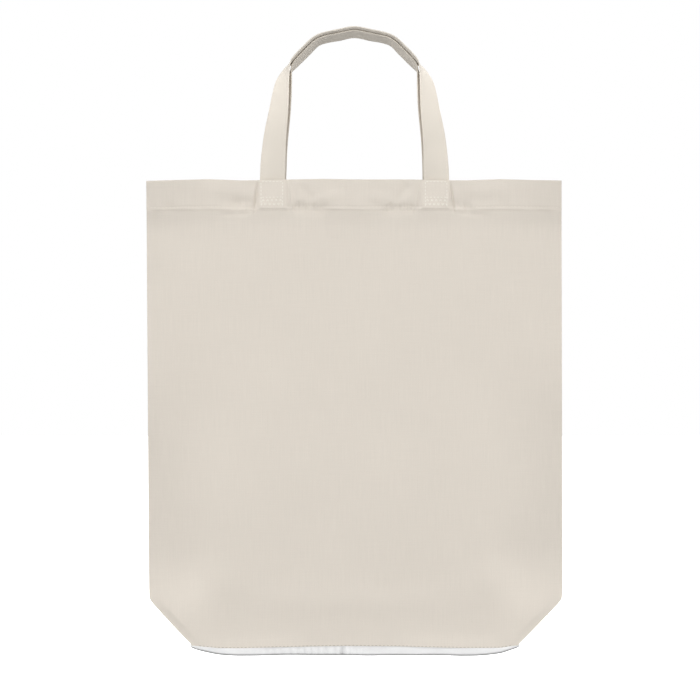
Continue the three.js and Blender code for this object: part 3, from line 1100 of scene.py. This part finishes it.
def make_world(level):
    """White where it is seen. Where it only gives light, it is brighter above than below."""
    world = bpy.data.worlds.new("studio")
    world.use_nodes = True
    bpy.context.scene.world = world
    n = Nodes(world.node_tree)
    seen = seen_mask(n)
    up = n.add("ShaderNodeSeparateXYZ", {"Vector": n.add("ShaderNodeTexCoord").outputs["Generated"]})
    heights = {"Value": up.outputs[2], "From Min": -0.5, "From Max": 0.6}
    sky = n.add("ShaderNodeMapRange", {**heights, "To Min": 0.6 * level, "To Max": 1.25 * level})
    hidden = n.math("MULTIPLY", n.math("SUBTRACT", 1.0, seen), sky.outputs[0])
    n.fill(n.tree.nodes["Background"], {"Color": (1, 1, 1, 1), "Strength": n.math("ADD", seen, hidden)})


def make_floor():
    """A floor that is seen as white and gives back only a little light."""
    n = MaterialNodes("floor_paint")
    where = n.add("ShaderNodeTexCoord").outputs["Object"]
    speckle = n.noise(where, 40.0, 3.0)
    seen = seen_mask(n)
    tone = n.math("ADD", n.math("MULTIPLY", speckle, 0.02), n.math("MULTIPLY_ADD", seen, 0.54, 0.3))
    centre = (0, 0, FLOOR_Z * MM)
    away = n.add("ShaderNodeVectorMath", {0: where, 1: centre}, operation="DISTANCE").outputs["Value"]
    distances = {"Value": away, "From Min": 0.3, "From Max": 2.0}
    far = n.add("ShaderNodeMapRange", {**distances, "To Min": 0.2, "To Max": 1.0})
    n.fill(
        n.shader,
        {
            "Base Color": n.grey(tone),
            "Roughness": 0.9,
            "Emission Color": (1, 1, 1, 1),
            "Emission Strength": n.math("MULTIPLY", seen, far.outputs[0]),
        },
    )
    corners = [(x * FLOOR_HALF, y * FLOOR_HALF, FLOOR_Z) for x, y in ((-1, -1), (1, -1), (1, 1), (-1, 1))]
    build_mesh("floor", corners, [(0, 1, 2, 3)], None, n.material)


HELD_DROP = 8.0  # where a sewn strap end lies against the hem


def main():
    """Makes the stage and every piece with its material, and attaches some pieces to the bag's halves."""
    bpy.context.scene.view_settings.view_transform = "Standard"
    make_camera()
    make_world(SKY_LEVEL)
    for lamp in LAMPS:
        area_light(*lamp)
    make_floor()

    cotton = woven("cotton_cloth", (0.722, 0.665, 0.591), BODY_TINTS, **COTTON)
    white = woven("white_cloth", (0.88, 0.88, 0.88), LIP_TINTS, **WHITE)
    thread = thread_material("cotton_thread", (0.86, 0.82, 0.74))
    hem_cotton = thread_material("hem_cotton", (0.78, 0.72, 0.64))
    # Painted shade: the front seam's thread is dark, for the shade line under the front cloth's edge
    seam_shade_cotton = thread_material("seam_shade_cotton", (0.42, 0.37, 0.31))

    front = make_front(cotton)
    back = make_back(cotton)
    base = make_base(white)
    corners = [make_corner(hand, cotton) for hand in (-1, 1)]
    inside = 2 * FOLD_RADIUS + STRAP / 2 + STRAP_CLEARANCE
    front_strap = Strap(FRONT_EDGES, float(outer_face(-1, LEG_MIDDLE, HELD_DROP)) + inside)
    back_strap = Strap(BACK_EDGES, float(outer_face(1, LEG_MIDDLE, HELD_DROP)) - inside)
    middle = 0.5 * front_strap.length * MM
    webbing = woven("cotton_strap", (0.717, 0.664, 0.587), STRAP_TINTS, middle=middle, **WEBBING)
    front_loop = make_strap("front_strap", front_strap, webbing)
    back_loop = make_strap("back_strap", back_strap, webbing)
    hem_thread = stitches("hem_thread", hem_runs(-1) + hem_runs(1), hem_cotton, **HEM_STITCH)
    seam_thread = stitches("seam_thread", seam_runs(), seam_shade_cotton, **SEAM_STITCH)
    box_thread = stitches("box_thread", box_runs(-1) + box_runs(1), thread, **BOX_STITCH)
    front_thread = stitches("front_strap_thread", strap_runs(front_strap), hem_cotton, **STRAP_STITCH)
    back_thread = stitches("back_strap_thread", strap_runs(back_strap), hem_cotton, **STRAP_STITCH)

    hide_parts("front_panel_upper", "front_panel_lower", "front_hem")
    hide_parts("back_panel_upper", "back_panel_lower", "back_hem")
    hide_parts("base_panel")
    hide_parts("left_corner_flap")
    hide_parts("right_corner_flap")
    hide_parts("front_handle", "front_left_strap_end", "front_right_strap_end")
    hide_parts("back_handle", "back_left_strap_end", "back_right_strap_end")

    for cloth in (front, back):
        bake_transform(cloth)
    for loop, sewing, body in (
        (front_loop, front_thread, "front_handle"),
        (back_loop, back_thread, "back_handle"),
    ):
        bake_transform(loop)
        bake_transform(sewing)
    for piece in (base, *corners):
        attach(piece, "lower_half")
    for piece in (hem_thread, box_thread):
        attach(piece, "upper_half")
    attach(seam_thread, "lower_half")


main()
